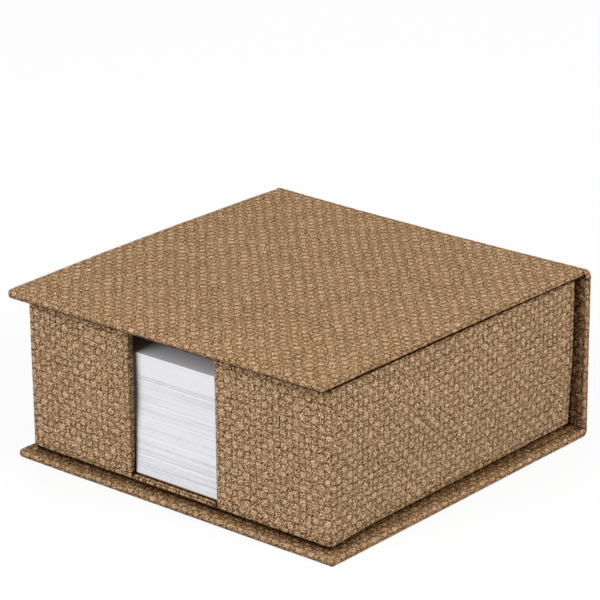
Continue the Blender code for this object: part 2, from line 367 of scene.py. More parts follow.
# %% [markdown]
# The cover paper is embossed like a coarse basket weave. Soft round bumps sit on a chequerboard of
# 3.85 by 3.6 millimetres, a narrow groove runs round each, and the ground between them is at half
# height. A chequerboard is an ordinary grid once it is turned: with p = a + b and q = a - b the
# bumps fall on whole numbers. Rounding finds the nearest one, and what is left over is the distance
# from its middle. Noise of three sizes pushes the grid about first, each bump draws its own size and
# height, and here and there a groove is filled up, so that no two bumps are quite alike.

# %% The basket emboss
CELL_ALONG = 3.85
CELL_ACROSS = 3.6
BUMP_HALF_ALONG = 1.02
BUMP_HALF_ACROSS = 0.97
BUMP_SQUARENESS = 2.3
BUMP_SIDE = (1.12, 0.5)
LEAST_SIZE = 0.88
SIZE_SPREAD = 0.24
LEAST_LIFT = 0.6
LIFT_SPREAD = 0.4
GROUND_SIDE = (1.05, 1.6)
GROUND_HEIGHT = 0.42
FILLINGS_PER_MILLIMETRE = 0.7
FILLING_SIDE = (0.42, 0.7)
# Each wobble is how many fit in a millimetre, and how far it pushes, in millimetres.
EMBOSS_WOBBLES = ((0.11, 1.4), (0.55, 0.5), (1.6, 0.35))


def distance_to_bump(tree, p, q):
    """The nearest bump's number, and the distance from its middle in bump sizes."""
    label = tree.nodes.new("ShaderNodeCombineXYZ")
    rests = []
    for value, socket in zip((p, q), label.inputs):
        number = calculate(tree, "ROUND", value)
        feed(tree, socket, number)
        rests.append(calculate(tree, "SUBTRACT", value, number))
    powers = []
    for operation, half_cell, half_bump in (
        ("ADD", CELL_ALONG / 2, BUMP_HALF_ALONG),
        ("SUBTRACT", CELL_ACROSS / 2, BUMP_HALF_ACROSS),
    ):
        off_middle = calculate(tree, "ABSOLUTE", calculate(tree, operation, *rests))
        in_bumps = calculate(tree, "MULTIPLY", off_middle, half_cell / half_bump)
        powers.append(calculate(tree, "POWER", in_bumps, BUMP_SQUARENESS))
    return label.outputs[0], calculate(
        tree, "POWER", calculate(tree, "ADD", *powers), 1 / BUMP_SQUARENESS
    )


def make_basket_emboss():
    tree, given, result = new_group(
        "basket emboss", [("Sheet", "NodeSocketVector")], ["Height", "Bump tone"]
    )
    place_on_sheet = given.outputs["Sheet"]
    place = place_on_sheet
    for scale, reach in EMBOSS_WOBBLES:
        wobble = noise_at(tree, place_on_sheet, scale, detail=1.0).outputs["Color"]
        centred = calculate_vector(tree, "SUBTRACT", wobble, (0.5, 0.5, 0.5))
        pushed = calculate_vector(tree, "MULTIPLY", centred, (reach, reach, reach))
        place = calculate_vector(tree, "ADD", place, pushed)
    in_cells = calculate_vector(tree, "DIVIDE", place, (CELL_ALONG, CELL_ACROSS, 1.0))
    split = tree.nodes.new("ShaderNodeSeparateXYZ")
    feed(tree, split.inputs[0], in_cells)
    a, b = split.outputs[0], split.outputs[1]
    p, q = calculate(tree, "ADD", a, b), calculate(tree, "SUBTRACT", a, b)
    label, reach = distance_to_bump(tree, p, q)
    chance = tree.nodes.new("ShaderNodeTexWhiteNoise")
    feed(tree, chance.inputs["Vector"], label)
    chances = tree.nodes.new("ShaderNodeSeparateColor")
    feed(tree, chances.inputs[0], chance.outputs["Color"])
    size = calculate(tree, "MULTIPLY_ADD", chances.outputs[0], SIZE_SPREAD, LEAST_SIZE)
    reach = calculate(tree, "DIVIDE", reach, size)
    lift = calculate(tree, "MULTIPLY_ADD", chances.outputs[1], LIFT_SPREAD, LEAST_LIFT)
    bump = calculate(tree, "MULTIPLY", remap(tree, reach, *BUMP_SIDE), lift)
    ground = remap(tree, reach, *GROUND_SIDE, 0.0, GROUND_HEIGHT)
    filling = noise_at(tree, place_on_sheet, FILLINGS_PER_MILLIMETRE).outputs[0]
    filling = remap(tree, filling, *FILLING_SIDE, 0.0, GROUND_HEIGHT)
    height = calculate(tree, "MAXIMUM", calculate(tree, "MAXIMUM", bump, ground), filling)
    feed(tree, result.inputs["Height"], height)
    feed(tree, result.inputs["Bump tone"], chances.outputs[2])
    return tree


basket_emboss = make_basket_emboss()
print("the basket emboss takes", len(basket_emboss.nodes), "nodes")

# %% [markdown]
# Under the emboss the paper is a mat of short fibres that cross each other, some bleached and some
# dark. A noise that is drawn out in one direction looks like fibres lying that way, so three such
# noises, turned against each other, make the mat. The highest and lowest peaks of a fourth are
# kept as flecks. The group serves the cover paper, the plain lining and the greyboard alike.

# %% The fibre mat
FIBRE_TURNS = (0.35, 1.4, 2.45)
FLECKS_PER_MILLIMETRE = 2.6
FIBRE_WIDTH = 0.17
FIBRE_LENGTH = 0.5
LIGHT_FLECKS = (0.64, 0.76)
DARK_FLECKS = (0.36, 0.25)
NOISE_MIDDLE = 0.5


def make_fibre_mat():
    tree, given, result = new_group(
        "fibre mat", [("Place", "NodeSocketVector")], ["Mat", "Fleck"]
    )
    place = given.outputs["Place"]
    total = NOISE_MIDDLE - NOISE_MIDDLE * len(FIBRE_TURNS)
    for turn in FIBRE_TURNS:
        lie = tree.nodes.new("ShaderNodeMapping")
        lie.vector_type = "TEXTURE"
        lie.inputs["Rotation"].default_value = (0.0, 0.0, turn)
        lie.inputs["Scale"].default_value = (FIBRE_LENGTH, FIBRE_WIDTH, FIBRE_WIDTH)
        feed(tree, lie.inputs["Vector"], place)
        fibres = noise_at(tree, lie.outputs[0], 1.0, detail=1.0).outputs[0]
        total = calculate(tree, "ADD", fibres, total)
    feed(tree, result.inputs["Mat"], total)
    flecks = noise_at(tree, place, FLECKS_PER_MILLIMETRE, detail=1.0).outputs[0]
    light, dark = remap(tree, flecks, *LIGHT_FLECKS), remap(tree, flecks, *DARK_FLECKS)
    feed(tree, result.inputs["Fleck"], calculate(tree, "SUBTRACT", light, dark))
    return tree


fibre_mat = make_fibre_mat()
print("the fibre mat takes", len(fibre_mat.nodes), "nodes")


# %% [markdown]
# A colour ramp turns the height of the emboss and the fibres into colour. The grooves are painted
# darker and redder, as painted shade with the brown light they bounce on themselves, and the tops of
# the bumps are painted paler and greyer, as painted light. The same height also drives the Bump node,
# so the light agrees with the colour. In corners an ambient occlusion node takes off some tone as
# painted shade, and on the case what looks down loses some too, as painted shade. The base's own
# edges, which stand in the open, are left out of both. The tray's sheet has darker painted shade in
# its grooves, more contrast in its fibres and a darker painted shade line in its tightest corners.

# %% Cover paper
COVER_RAMP = (
    (0.0, (0.020, 0.005, 0.0005)),
    (0.1, (0.085, 0.035, 0.010)),
    (0.25, (0.172, 0.0845, 0.028)),
    (0.5, (0.360, 0.2165, 0.106)),
    (0.75, (0.634, 0.425, 0.252)),
    (1.0, (0.98, 0.718, 0.480)),
)
COVER_ROUGHNESS = 0.85
COVER_GLOSS = 0.02
EMBOSS_DEPTH = 0.00022
GROOVE_SIDE = (0.02, 0.40)
MEAN_OPENNESS = 0.85
MEAN_HEIGHT = 0.38
HEIGHT_SHARE = 0.27
BUMP_SHARE = 0.08
FLECK_SHARE = 0.25
FIBRE_HEIGHT = 0.18
SHADE_SAMPLES = 8
# Where the base's edge ends, in heights of the slab, and how far down a face's normal points, for
# painted shade.
BASE_EDGE_END = (0.75, 0.93)
LOOKING_DOWN = (-0.2, -0.5)


def new_finish(name, roughness):
    finish = bpy.data.materials.new(name)
    finish.use_nodes = True
    shader = finish.node_tree.nodes["Principled BSDF"]
    shader.inputs["Roughness"].default_value = roughness
    return finish, finish.node_tree, shader


def ramp_colour(tree, value, stops):
    ramp = tree.nodes.new("ShaderNodeValToRGB")
    while len(ramp.color_ramp.elements) < len(stops):
        ramp.color_ramp.elements.new(1.0)
    for element, (place, colour) in zip(ramp.color_ramp.elements, stops):
        element.position = place
        element.color = (*colour, 1.0)
    feed(tree, ramp.inputs[0], value)
    return ramp.outputs["Color"]


def bump_normal(tree, height, depth):
    bump = tree.nodes.new("ShaderNodeBump")
    bump.inputs["Strength"].default_value = 1.0
    bump.inputs["Distance"].default_value = depth
    feed(tree, bump.inputs["Height"], height)
    return bump.outputs["Normal"]


def corner_shade(tree, reach):
    """From 0 in the open to 1 deep in a corner that other surfaces close in."""
    open_sky = tree.nodes.new("ShaderNodeAmbientOcclusion")
    open_sky.samples = SHADE_SAMPLES
    open_sky.inputs["Distance"].default_value = reach
    return calculate(tree, "SUBTRACT", 1.0, open_sky.outputs["AO"])


def above_the_floor(tree):
    """Zero on the base's own edges, which stand in the open, and one on everything above."""
    split = tree.nodes.new("ShaderNodeSeparateXYZ")
    feed(tree, split.inputs[0], tree.nodes.new("ShaderNodeTexCoord").outputs["Object"])
    return remap(tree, split.outputs[2], *(slab * share for share in BASE_EDGE_END))


def facing_down(tree):
    """One on faces that look down, and zero on upright ones and on those that look up; it masks
    painted shade.
    """
    split = tree.nodes.new("ShaderNodeSeparateXYZ")
    feed(tree, split.inputs[0], tree.nodes.new("ShaderNodeNewGeometry").outputs["Normal"])
    return remap(tree, split.outputs[2], *LOOKING_DOWN)


def make_cover_paper(name, groove_shade, middle_tone, fibre_tone, shades, underside_shade):
    """Each of the shades is a painted corner shade: how far it reaches out of a corner, in metres, and
    how strong it is.
    """
    finish, tree, shader = new_finish(name, COVER_ROUGHNESS)
    shader.inputs["Specular IOR Level"].default_value = COVER_GLOSS
    place = tree.nodes.new("ShaderNodeUVMap")
    place.uv_map = "sheet"
    emboss = use_group(tree, basket_emboss, place.outputs[0])
    fibres = use_group(tree, fibre_mat, place.outputs[0])
    height = emboss.outputs["Height"]
    # Painted shade in the grooves and painted light on the tops of the bumps, drawn from the emboss's
    # height.
    open_ground = remap(tree, height, *GROOVE_SIDE)
    tone = add_share(tree, middle_tone, open_ground, MEAN_OPENNESS, groove_shade)
    tone = add_share(tree, tone, height, MEAN_HEIGHT, HEIGHT_SHARE)
    # Painted shade: ambient occlusion takes tone off in corners, but not on the base's own edges.
    for reach, share in shades:
        shade = calculate(tree, "MULTIPLY", corner_shade(tree, reach), above_the_floor(tree))
        tone = add_share(tree, tone, shade, 0.0, -share)
    # Painted shade on faces that look down, but not on the base's own edges.
    under = calculate(tree, "MULTIPLY", facing_down(tree), above_the_floor(tree))
    tone = add_share(tree, tone, under, 0.0, -underside_shade)
    tone = add_share(tree, tone, fibres.outputs["Mat"], NOISE_MIDDLE, fibre_tone)
    tone = add_share(tree, tone, emboss.outputs["Bump tone"], NOISE_MIDDLE, BUMP_SHARE)
    tone = add_share(tree, tone, fibres.outputs["Fleck"], 0.0, FLECK_SHARE)
    feed(tree, shader.inputs["Base Color"], ramp_colour(tree, tone, COVER_RAMP))
    relief = add_share(tree, height, fibres.outputs["Mat"], NOISE_MIDDLE, FIBRE_HEIGHT)
    feed(tree, shader.inputs["Normal"], bump_normal(tree, relief, EMBOSS_DEPTH))
    return finish


# The case's paper carries painted corner shade and painted shade on faces that look down.
case_paper = make_cover_paper(
    "case cover paper",
    groove_shade=0.12,
    middle_tone=0.383,
    fibre_tone=1.9,
    shades=((0.006, 0.5),),
    underside_shade=0.9,
)
# The tray's paper carries painted corner shade and a short, strong painted shade line under the lid
# and at its foot.
tray_paper = make_cover_paper(
    "tray cover paper",
    groove_shade=0.20,
    middle_tone=0.42,
    fibre_tone=2.4,
    shades=((0.0045, 0.4), (0.0012, 6.0)),
    underside_shade=0.0,
)
print("cover papers:", case_paper.name, "and", tray_paper.name)

# %% [markdown]
# The lid is a board wrapped by the sheet and open at its hinge end. It starts as a cube, loses the
# face at the hinge, and is rounded: its front corners first, where the paper is folded over twice
# and blunts them, the left one more than the right, then the lower edges, which are drawn tighter,
# and then all its other long edges. The sheet turns in over the underside for 15 millimetres, and
# inside that the board is bare under its lining, so the middle comes away. A Solidify modifier
# gives the sheet its thickness.

# %% The lid's wrap
PAPER = 0.00025
CORNER_BLUNTING = {-1: 0.0014, 1: 0.0008}
EDGE_RADIUS = 0.0009
LID_LOWER_RADIUS = 0.0006
EDGE_STEPS = 4
CASE_TURN_IN = 0.015
GRID = 0.003


def thicken(piece):
    sheet = piece.modifiers.new("paper", "SOLIDIFY")
    sheet.thickness = PAPER
    sheet.offset = -1.0


def make_lid_wrap():
    shape = box_shape(lid_low, Vector((lid_right, lid_high.y, lid_high.z)))
    take_away(shape, lambda middle, normal: normal.y > FACING)
    for side, radius in CORNER_BLUNTING.items():
        corner = sharp_edges(shape, upright_at_front(lid_low.y, side))
        round_off(shape, corner, radius, EDGE_STEPS)
    lower = sharp_edges(shape, lambda one, two: max(one.z, two.z) < lid_low.z + wrap)
    round_off(shape, lower, LID_LOWER_RADIUS, EDGE_STEPS)
    round_off(shape, sharp_edges(shape), EDGE_RADIUS, EDGE_STEPS)
    bare_x, bare_y = lid_high.x - CASE_TURN_IN, lid_low.y + CASE_TURN_IN
    slice_at(shape, (1, 0, 0), (-bare_x, bare_x))
    slice_at(shape, (0, 1, 0), (bare_y,))
    take_away(
        shape,
        lambda middle, normal: normal.z < -FLAT_AGAINST
        and abs(middle.x) < bare_x
        and middle.y > bare_y,
    )
    slice_evenly(shape, 0, GRID)
    slice_evenly(shape, 1, GRID)
    lay_flat(shape, unwrap_lid)
    let_wander(shape)
    thin_to_the_right(shape)
    bow_with_lid(shape)
    thicken(finish_piece(shape, "lid_wrap", case_paper, "lid", ["lid_cover"]))


make_lid_wrap()

# %% [markdown]
# The base and the spine share one sheet, so they are one piece with an L for its outline. The L is
# drawn as six points, made a face and extruded across the box. Its outer corner is rounded wider
# than the other edges, because no board fills it there. Its top end stays closed, where the spine
# meets the hinge. At each end of the L's inner corner the turned-in paper folds in a crease, which
# is cut as three close planes whose middle one is pushed in.

# %% The wrap of base and spine
JOINT_RADIUS = 0.0017
JOINT_STEPS = 8
CREASE_HALF = 0.00025
CREASE_DEPTH = 0.0006


def make_case_wrap():
    shape = bmesh.new()
    outline = [
        (case_low.y, case_low.z),
        (case_high.y, case_low.z),
        (case_high.y, case_high.z),
        (spine_inner, case_high.z),
        (spine_inner, slab),
        (case_low.y, slab),
    ]
    ring = [shape.verts.new((case_low.x, y, z)) for y, z in outline]
    face = shape.faces.new(ring)
    swept = bmesh.ops.extrude_face_region(shape, geom=[face])["geom"]
    moved = [part for part in swept if isinstance(part, bmesh.types.BMVert)]
    bmesh.ops.translate(shape, vec=(case_high.x - case_low.x, 0, 0), verts=moved)
    bmesh.ops.recalc_face_normals(shape, faces=shape.faces)
    corner = sharp_edges(
        shape,
        lambda one, two: min(one.y, two.y) > case_high.y - wrap and max(one.z, two.z) < wrap,
    )
    round_off(shape, corner, JOINT_RADIUS, JOINT_STEPS)
    for side, radius in CORNER_BLUNTING.items():
        corner = sharp_edges(shape, upright_at_front(case_low.y, side))
        round_off(shape, corner, radius, EDGE_STEPS)
    long_edges = sharp_edges(shape, lambda one, two: min(one.z, two.z) < case_high.z - wrap)
    round_off(shape, long_edges, EDGE_RADIUS, EDGE_STEPS)
    bare_x, bare_y = case_high.x - CASE_TURN_IN, case_low.y + CASE_TURN_IN
    slice_at(shape, (1, 0, 0), (-bare_x, bare_x))
    slice_at(shape, (0, 1, 0), (bare_y,))
    take_away(
        shape,
        lambda middle, normal: abs(middle.x) < bare_x
        and bare_y < middle.y < spine_inner + wrap
        and middle.z > slab - wrap,
    )
    for axis in range(3):
        slice_evenly(shape, axis, GRID)
    crease_place = (spine_inner - slab) / math.sqrt(2)
    slice_at(
        shape, (0, 1, -1), [crease_place + step * CREASE_HALF for step in (-1, 0, 1)]
    )
    lay_flat(shape, unwrap_case)
    let_wander(shape)
    for point in shape.verts:
        from_fold = abs((point.co.y - point.co.z) / math.sqrt(2) - crease_place)
        at_corner = point.co.y > spine_inner - wrap and point.co.z < slab + wrap
        if from_fold < CREASE_HALF / 2 and at_corner and abs(point.co.x) > case_high.x - EDGE_RADIUS:
            point.co.x -= math.copysign(CREASE_DEPTH, point.co.x)
    thicken(finish_piece(shape, "case_wrap", case_paper, "box", ["case_cover"]))


make_case_wrap()

# %% [markdown]
# The tray's sheet goes up the outside of the walls, over the rim and down the inside. So the walls
# are one strip of faces: a box without its lid, whose open edge is extruded inwards for the rim and
# then downwards. To lay such a face flat, its distance round the tray becomes one direction of the
# sheet, and its height, carried on over the rim, the other. At the window the sheet turns in round
# the sides of the opening and over its sill, so depth into the wall is added there instead.

# %% Where a point of the tray lay on its strip
CORNER_RADIUS = 0.0009
CORNER_STEPS = 5
FOOT_RADIUS = 0.0013
RIM_RADIUS = 0.0006
RIM_STEPS = 3

tray_half = tray_high.x
tray_middle_y = (tray_low.y + tray_high.y) / 2
straight_x = tray_half - CORNER_RADIUS
straight_y = (tray_high.y - tray_low.y) / 2 - CORNER_RADIUS
quarter = CORNER_RADIUS * QUARTER_TURN


def round_the_tray(point, middle):
    """How far round the tray a point lies, from the middle of the front."""
    x, y = abs(point.x), point.y - tray_middle_y
    beyond_x, beyond_y = x - straight_x, abs(y) - straight_y
    if beyond_x > 0 and beyond_y > 0:
        if y < 0:
            return straight_x + CORNER_RADIUS * math.atan2(beyond_x, beyond_y)
        turn = math.atan2(beyond_y, beyond_x)
        return straight_x + quarter + 2 * straight_y + CORNER_RADIUS * turn
    to_side = tray_half - abs(middle.x)
    to_front, to_back = middle.y - tray_low.y, tray_high.y - middle.y
    if to_side < min(to_front, to_back):
        return straight_x + quarter + y + straight_y
    if to_front < to_back:
        return x
    return straight_x + 2 * quarter + 2 * straight_y + straight_x - x


def unwrap_tray(point, middle):
    """The tray's strip: it stands on its lower edge, and turns in at the rim and under the floor."""
    to_outside = min(tray_half - abs(point.x), point.y - tray_low.y, tray_high.y - point.y)
    middle_to_outside = min(
        tray_half - abs(middle.x), middle.y - tray_low.y, tray_high.y - middle.y
    )
    depth = point.y - tray_low.y
    if middle_to_outside < wall - RIM_RADIUS / 2 and sill_top < middle.z < tray_high.z - RIM_RADIUS:
        if abs(middle.x - window_left) < RIM_RADIUS:
            return point.x + depth, point.z
        if abs(middle.x - window_right) < RIM_RADIUS:
            return point.x - depth, point.z
    along = math.copysign(round_the_tray(point, middle), middle.x)
    if middle_to_outside > wall / 2 and middle.z > sill_top:
        return along, 2 * tray_high.z - point.z + to_outside
    if point.z > tray_high.z - FOOT_RADIUS or sill_top - RIM_RADIUS < middle.z < sill_top + wrap:
        return along, point.z + max(to_outside, 0.0)
    if point.z < tray_low.z + FOOT_RADIUS:
        return along, point.z - to_outside
    return along, point.z


# %% [markdown]
# Now the strip itself. The window is cut with planes, and its sides are closed by extruding the
# outer edge of the hole through the wall until it meets the inner one, where the points are merged.
# The upright corners are rounded first and the foot after them, so that the foot's rounding runs
# round the corners in one sweep. The strip's two ends meet at the middle of the back, so the wall is
# cut there, and no face lies across the join. Last, the foot of the right wall is drawn in a little,
# because the real wall doesn't stand quite upright.

# %% The tray's wrap
TRAY_TURN_IN = 0.012
RIM_ANGLE = math.radians(60)
FOOT_DRAW = 0.001
FOOT_DRAW_HEIGHT = 0.022
FOOT_DRAW_START = 0.02


def edge_of_hole(shape):
    return [edge for edge in shape.edges if edge.is_boundary]


def extrude_edges(shape, edges):
    swept = bmesh.ops.extrude_edge_only(shape, edges=edges)["geom"]
    points = [part for part in swept if isinstance(part, bmesh.types.BMVert)]
    found = set(points)
    new_edges = [
        part
        for part in swept
        if isinstance(part, bmesh.types.BMEdge) and part.verts[0] in found and part.verts[1] in found
    ]
    return points, new_edges


def on_upright_corner(one, two):
    at_side = min(abs(one.x), abs(two.x)) > tray_half - wrap
    at_end = min(abs(one.y - tray_low.y), abs(one.y - tray_high.y)) < wrap
    return abs(one.z - two.z) > wrap and at_side and at_end


def smooth_step(share):
    share = min(max(share, 0.0), 1.0)
    return share * share * (3 - 2 * share)


def draw_in_foot(shape):
    """The tray's right wall stands in a little at its foot, from behind its front corner on."""
    for point in shape.verts:
        low_down = smooth_step(1 - (point.co.z - tray_low.z) / FOOT_DRAW_HEIGHT)
        past_corner = smooth_step((point.co.y - tray_low.y) / FOOT_DRAW_START)
        outside = smooth_step(1 - (tray_half - point.co.x) / (2 * wall))
        point.co.x -= FOOT_DRAW * low_down * past_corner * outside


def cut_window(shape):
    slice_at(shape, (1, 0, 0), (window_left, window_right))
    slice_at(shape, (0, 0, 1), (sill_top,))
    in_front = tray_low.y + wall + wrap
    take_away(
        shape,
        lambda middle, normal: window_left < middle.x < window_right
        and middle.y < in_front
        and middle.z > sill_top,
    )
    hole = [
        edge
        for edge in edge_of_hole(shape)
        if all(abs(end.co.y - tray_low.y) < wrap and end.co.z > sill_top - wrap for end in edge.verts)
    ]
    points, _ = extrude_edges(shape, hole)
    bmesh.ops.translate(shape, vec=(0, wall, 0), verts=points)
    bmesh.ops.remove_doubles(shape, verts=shape.verts, dist=wrap / 10)
    bmesh.ops.recalc_face_normals(shape, faces=shape.faces)


def make_tray_wrap():
    shape = box_shape(tray_low, tray_high)
    take_away(shape, lambda middle, normal: normal.z > FACING)
    middle = (tray_low + tray_high) / 2
    size = tray_high - tray_low
    points, rim = extrude_edges(shape, edge_of_hole(shape))
    inwards = (1 - 2 * wall / size.x, 1 - 2 * wall / size.y, 1.0)
    bmesh.ops.scale(shape, vec=inwards, space=Matrix.Translation(-middle), verts=points)
    points, _ = extrude_edges(shape, rim)
    floor_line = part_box("tray_floor_board")[1].z
    bmesh.ops.translate(shape, vec=(0, 0, floor_line - tray_high.z), verts=points)
    bmesh.ops.recalc_face_normals(shape, faces=shape.faces)
    cut_window(shape)

    round_off(shape, sharp_edges(shape, on_upright_corner), CORNER_RADIUS, CORNER_STEPS)
    foot = sharp_edges(shape, lambda one, two: max(one.z, two.z) < tray_low.z + wrap)
    round_off(shape, foot, FOOT_RADIUS, CORNER_STEPS)
    rim = [edge for edge in sharp_edges(shape) if edge.calc_face_angle() > RIM_ANGLE]
    round_off(shape, rim, RIM_RADIUS, RIM_STEPS)

    bare_x = tray_half - TRAY_TURN_IN
    bare_front, bare_back = tray_low.y + TRAY_TURN_IN, tray_high.y - TRAY_TURN_IN
    slice_at(shape, (1, 0, 0), (-bare_x, bare_x))
    slice_at(shape, (0, 1, 0), (bare_front, bare_back))
    take_away(
        shape,
        lambda middle, normal: normal.z < -FLAT_AGAINST
        and abs(middle.x) < bare_x
        and bare_front < middle.y < bare_back,
    )
    slice_at(shape, (1, 0, 0), (0.0,))
    for axis in range(3):
        slice_evenly(shape, axis, GRID)
    lay_flat(shape, unwrap_tray)
    draw_in_foot(shape)
    let_wander(shape)
    thicken(finish_piece(shape, "tray_wrap", tray_paper, "box", ["tray_cover"]))


make_tray_wrap()

# %% [markdown]
# The hinge is the bare stretch of the case's sheet between spine and lid, turned in at its ends and
# lined inside, so it looks like a soft slab that goes round the corner. A short box without ends is
# rounded along its four edges, and its open rim is spun a quarter turn about the inner corner. The
# real fold is tighter than an arc, so it is squared up, and it takes on more and more of the lid's
# bow until the corner.

# %% The paper hinge
HINGE_STEPS = 16
HINGE_THICKNESS = 0.0016
HINGE_EDGE_RADIUS = 0.0007
HINGE_SQUARENESS = 3.4

hinge_centre = Vector((0.0, spine_inner, lid_low.z))


def hinge_share(place):
    """How far round the hinge a place lies, from 0 at the spine to 1 at the lid."""
    turn = math.atan2(place.z - hinge_centre.z, place.y - hinge_centre.y)
    return max(0.0, turn / QUARTER_TURN)


def unwrap_hinge(point, middle):
    side = math.copysign(1.0, middle.x)

    def depth_at(place):
        if place.z < hinge_centre.z:
            return case_high.y - place.y
        return slab - math.hypot(place.y - hinge_centre.y, place.z - hinge_centre.z)

    turned = 1 if depth_at(middle) > HINGE_THICKNESS / 2 else -1
    straight = min(point.z, hinge_centre.z)
    along = case_high.y + straight + slab * QUARTER_TURN * hinge_share(point)
    across = case_high.x + turned * (case_high.x - side * point.x) + depth_at(point)
    return along, side * across


def square_up(shape):
    """Pulls the quarter turn out towards the corner, because the fold is tighter than an arc."""
    for point in shape.verts:
        arm = point.co - hinge_centre
        if arm.z > 0:
            turn = math.atan2(arm.z, arm.y)
            sides = abs(math.cos(turn)) ** HINGE_SQUARENESS + abs(math.sin(turn)) ** HINGE_SQUARENESS
            pull = sides ** (-1 / HINGE_SQUARENESS)
            point.co = hinge_centre + Vector((arm.x, arm.y * pull, arm.z * pull))


def make_hinge_wrap():
    low = Vector((case_low.x, case_high.y - HINGE_THICKNESS, case_high.z))
    high = Vector((case_high.x, case_high.y, hinge_centre.z))
    shape = box_shape(low, high)
    take_away(shape, lambda middle, normal: abs(normal.z) > FACING)
    round_off(shape, sharp_edges(shape), HINGE_EDGE_RADIUS, EDGE_STEPS)
    rim = [edge for edge in edge_of_hole(shape) if edge.verts[0].co.z > high.z - PAPER]
    points = list(dict.fromkeys(end for edge in rim for end in edge.verts))
    bmesh.ops.spin(
        shape,
        geom=points + rim,
        cent=hinge_centre,
        axis=(1, 0, 0),
        angle=QUARTER_TURN,
        steps=HINGE_STEPS,
    )
    bmesh.ops.holes_fill(shape, edges=edge_of_hole(shape), sides=0)
    bmesh.ops.recalc_face_normals(shape, faces=shape.faces)
    for point in shape.verts:
        edge = lid_right if point.co.x > 0 else -lid_low.x
        point.co.x *= 1 - hinge_share(point.co) * (1 - edge / case_high.x)
    slice_evenly(shape, 0, GRID)
    lay_flat(shape, unwrap_hinge)
    square_up(shape)
    let_wander(shape)
    bow_with_lid(shape, lambda place: min(1.0, 2 * hinge_share(place)))
    hinge = finish_piece(
        shape, "hinge_wrap", case_paper, None, ["lid_joint_cover", "lid_joint_lining"]
    )
    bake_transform(hinge)


make_hinge_wrap()

# %% [markdown]
# Greyboard is the grey heart of the box, pulped from waste paper, and plain brown paper lines what
# the cover sheet leaves bare. Both read object space, since they carry no wrapped pattern. Cutting
# and wrapping crushes a board's edges, so each board is a box with softened edges. That also keeps
# its corners from coming through the rounded paper. A board follows the sheet round it: the lid's
# is as short, thin and bowed, the tray's are drawn in at the foot, and the spine's stays under the
# paper that closes its top.

# %% Greyboard
BOARD_CORNER = 0.0005
BOARD_STEPS = 2
BOARD_GRID = 0.01
PLAIN_ROUGHNESS = 0.9
PLAIN_GLOSS = 0.25
PLAIN_TONE = 0.5
PLAIN_FLECK_SHARE = 0.2


def make_plain_paper(name, dark, light, depth, mat_share):
    finish, tree, shader = new_finish(name, PLAIN_ROUGHNESS)
    shader.inputs["Specular IOR Level"].default_value = PLAIN_GLOSS
    place = tree.nodes.new("ShaderNodeTexCoord").outputs["Object"]
    in_millimetres = [1 / MILLIMETRE] * 3
    fibres = use_group(tree, fibre_mat, calculate_vector(tree, "MULTIPLY", place, in_millimetres))
    tone = add_share(tree, PLAIN_TONE, fibres.outputs["Mat"], NOISE_MIDDLE, mat_share)
    tone = add_share(tree, tone, fibres.outputs["Fleck"], 0.0, PLAIN_FLECK_SHARE)
    colour = ramp_colour(tree, tone, ((0.0, dark), (1.0, light)))
    feed(tree, shader.inputs["Base Color"], colour)
    feed(tree, shader.inputs["Normal"], bump_normal(tree, fibres.outputs["Mat"], depth))
    return finish


def make_board(node, body, finish):
    low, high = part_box(node)
    if body == "lid":
        high = high - Vector((LID_RIGHT_SHORT, 0.0, 0.0))
    if node == "spine_board":
        high = high - Vector((0.0, 0.0, wrap))
    shape = box_shape(low, high)
    round_off(shape, shape.edges[:], BOARD_CORNER, BOARD_STEPS)
    for axis in range(3):
        slice_evenly(shape, axis, BOARD_GRID)
    if body == "lid":
        thin_to_the_right(shape)
        bow_with_lid(shape)
    if node.startswith("tray"):
        draw_in_foot(shape)
    name = node.replace("_board", "_greyboard")
    finish_piece(shape, name, finish, body, [node])


greyboard = make_plain_paper(
    "greyboard",
    dark=(0.16, 0.15, 0.135),
    light=(0.50, 0.47, 0.43),
    depth=0.00006,
    mat_share=0.6,
)
for body, nodes in frame["record"]["behaviour"]["bodies"].items():
    for node in nodes:
        if node.endswith("_board"):
            make_board(node, body, greyboard)

# %% [markdown]
# A lining is a strip of paper that follows a path of straight runs: an edge as wide as the strip is
# extruded from one point of the path to the next, and the solidify operator makes it as thick as
# paper with corners that stay crisp. The spine's lining is cut from the cover sheet. It starts on
# the base, climbs the spine and folds over its top, and a hair of it shows beside the tray. The
# lid's lining is plain brown and turns up round the board's hinge end. The sheet on the tray's
# floor is the same brown paper, a flat box that reaches a little under the walls' rounded paper.

# %% Linings
LINING_GRID = 0.006
LINING_REACH = 0.0004


def make_strip(path, half_width, facing):
    shape = bmesh.new()
    ends = [shape.verts.new((side * half_width, *path[0])) for side in (-1, 1)]
    edges = [shape.edges.new(ends)]
    for here, there in zip(path, path[1:]):
        points, edges = extrude_edges(shape, edges)
        bmesh.ops.translate(shape, vec=(0, there[0] - here[0], there[1] - here[1]), verts=points)
    bmesh.ops.recalc_face_normals(shape, faces=shape.faces)
    shape.normal_update()
    shape.faces.ensure_lookup_table()
    if shape.faces[0].normal.dot(facing) < 0:
        bmesh.ops.reverse_faces(shape, faces=shape.faces)
    for axis in range(3):
        slice_evenly(shape, axis, LINING_GRID)
    bmesh.ops.solidify(shape, geom=shape.faces[:], thickness=PAPER)
    bmesh.ops.recalc_face_normals(shape, faces=shape.faces)
    return shape


def unwrap_strip(point, middle):
    return point.y + point.z, point.x


def make_spine_lining():
    low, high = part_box("spine_lining")
    on_base, on_spine = slab + PAPER, spine_inner - PAPER
    path = [(low.y, on_base), (on_spine, on_base), (on_spine, high.z), (high.y, high.z)]
    shape = make_strip(path, high.x, Vector((0, 0, 1)))
    lay_flat(shape, unwrap_strip)
    finish_piece(shape, "spine_strip", case_paper, "box", ["spine_lining"])


